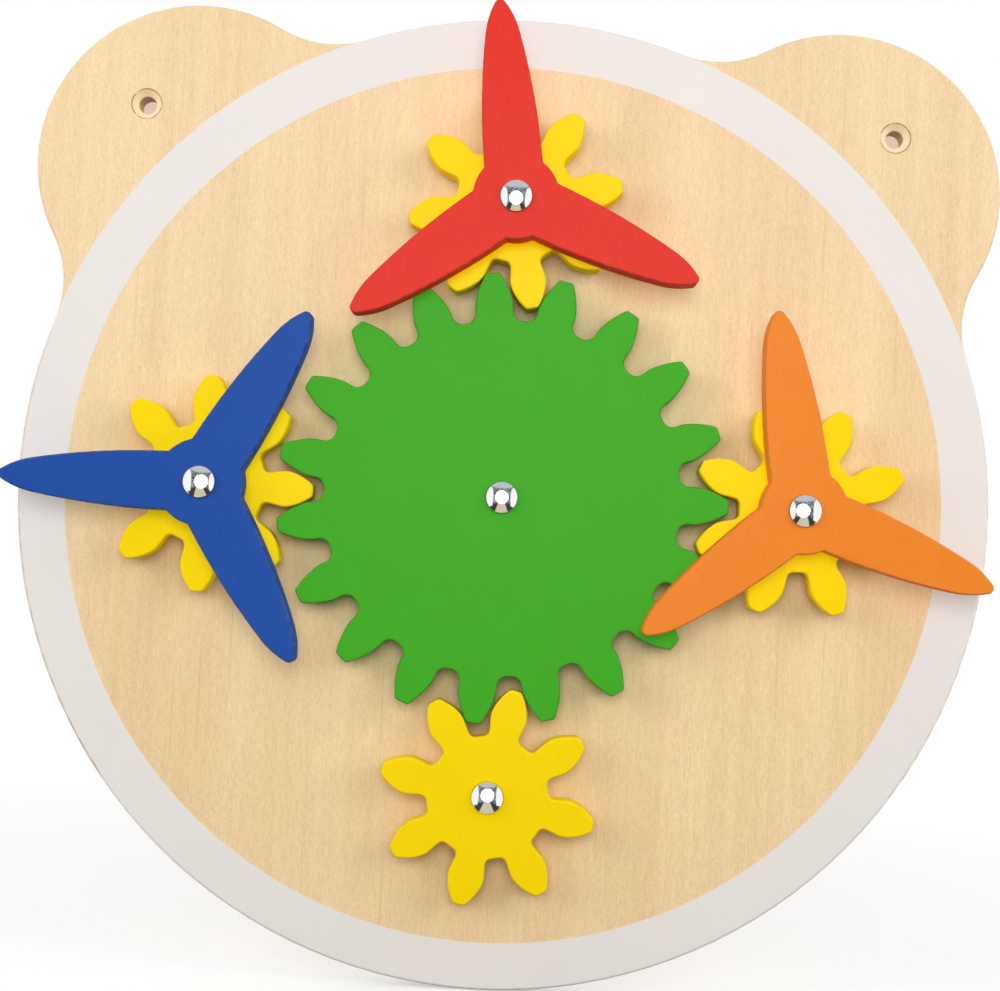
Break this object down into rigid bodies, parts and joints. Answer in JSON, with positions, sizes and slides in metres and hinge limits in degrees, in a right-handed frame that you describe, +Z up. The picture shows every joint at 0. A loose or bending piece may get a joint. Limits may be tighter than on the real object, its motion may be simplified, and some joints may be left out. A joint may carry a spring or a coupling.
{
  "type": "wooden wall gear toy",
  "caption": "Wall-mounted wooden gear board: a large gear meshes with small gears, most of them topped by a three-bladed propeller, so that all turn together.",
  "frame": {"origin": "midway between the two wall-screw holes, on the board's back face", "axes": "+X to the right and +Z up as seen from the front; the front faces -Y and the back face looks along +Y"},
  "size_m": [0.3774, 0.0345, 0.3764],
  "materials": {
    "plywood": "fine-grained light plywood, clear satin",
    "plain_wood": "bare light wood",
    "green_paint": "satin green paint",
    "yellow_paint": "satin yellow paint",
    "red_paint": "satin red paint",
    "blue_paint": "satin blue paint",
    "orange_paint": "satin orange paint",
    "bright_plating": "bright plated steel",
    "zinc_plating": "zinc-plated steel",
    "nylon": "natural nylon"
  },
  "bodies": {
    "board": {"backboard": "plywood", "board_washer_centre": "nylon", "axle_bush_centre": "nylon", "axle_bolt_centre": "bright_plating", "rear_washer_centre": "zinc_plating", "axle_nut_centre": "zinc_plating", "board_washer_top": "nylon", "axle_bush_top": "nylon", "axle_bolt_top": "bright_plating", "rear_washer_top": "zinc_plating", "axle_nut_top": "zinc_plating", "board_washer_left": "nylon", "axle_bush_left": "nylon", "axle_bolt_left": "bright_plating", "rear_washer_left": "zinc_plating", "axle_nut_left": "zinc_plating", "board_washer_right": "nylon", "axle_bush_right": "nylon", "axle_bolt_right": "bright_plating", "rear_washer_right": "zinc_plating", "axle_nut_right": "zinc_plating", "board_washer_bottom": "nylon", "axle_bush_bottom": "nylon", "axle_bolt_bottom": "bright_plating", "rear_washer_bottom": "zinc_plating", "axle_nut_bottom": "zinc_plating"},
    "main_wheel": {"main_gear": "green_paint"},
    "top_rotor": {"small_gear_top": "yellow_paint", "propeller_spacer_top": "plain_wood", "propeller_top": "red_paint"},
    "left_rotor": {"small_gear_left": "yellow_paint", "propeller_spacer_left": "plain_wood", "propeller_left": "blue_paint"},
    "right_rotor": {"small_gear_right": "yellow_paint", "propeller_spacer_right": "plain_wood", "propeller_right": "orange_paint"},
    "bottom_rotor": {"small_gear_bottom": "yellow_paint"}
  },
  "joints": [
    {"name": "main_gear_turn", "type": "hinge", "parent": "board", "child": "main_wheel", "pos_m": [0, -0.01665, -0.148], "axis": [0, -1, 0], "continuous": true},
    {"name": "top_rotor_turn", "type": "hinge", "parent": "board", "child": "top_rotor", "pos_m": [0, -0.01665, -0.03463], "axis": [0, -1, 0], "continuous": true},
    {"name": "left_rotor_turn", "type": "hinge", "parent": "board", "child": "left_rotor", "pos_m": [-0.11338, -0.01665, -0.148], "axis": [0, -1, 0], "continuous": true},
    {"name": "right_rotor_turn", "type": "hinge", "parent": "board", "child": "right_rotor", "pos_m": [0.11338, -0.01665, -0.148], "axis": [0, -1, 0], "continuous": true},
    {"name": "bottom_rotor_turn", "type": "hinge", "parent": "board", "child": "bottom_rotor", "pos_m": [0, -0.01665, -0.26138], "axis": [0, -1, 0], "continuous": true}
  ],
  "couplings": [
    {"joint": "top_rotor_turn", "follows": "main_gear_turn", "ratio": -2.375},
    {"joint": "left_rotor_turn", "follows": "main_gear_turn", "ratio": -2.375},
    {"joint": "right_rotor_turn", "follows": "main_gear_turn", "ratio": -2.375},
    {"joint": "bottom_rotor_turn", "follows": "main_gear_turn", "ratio": -2.375}
  ]
}
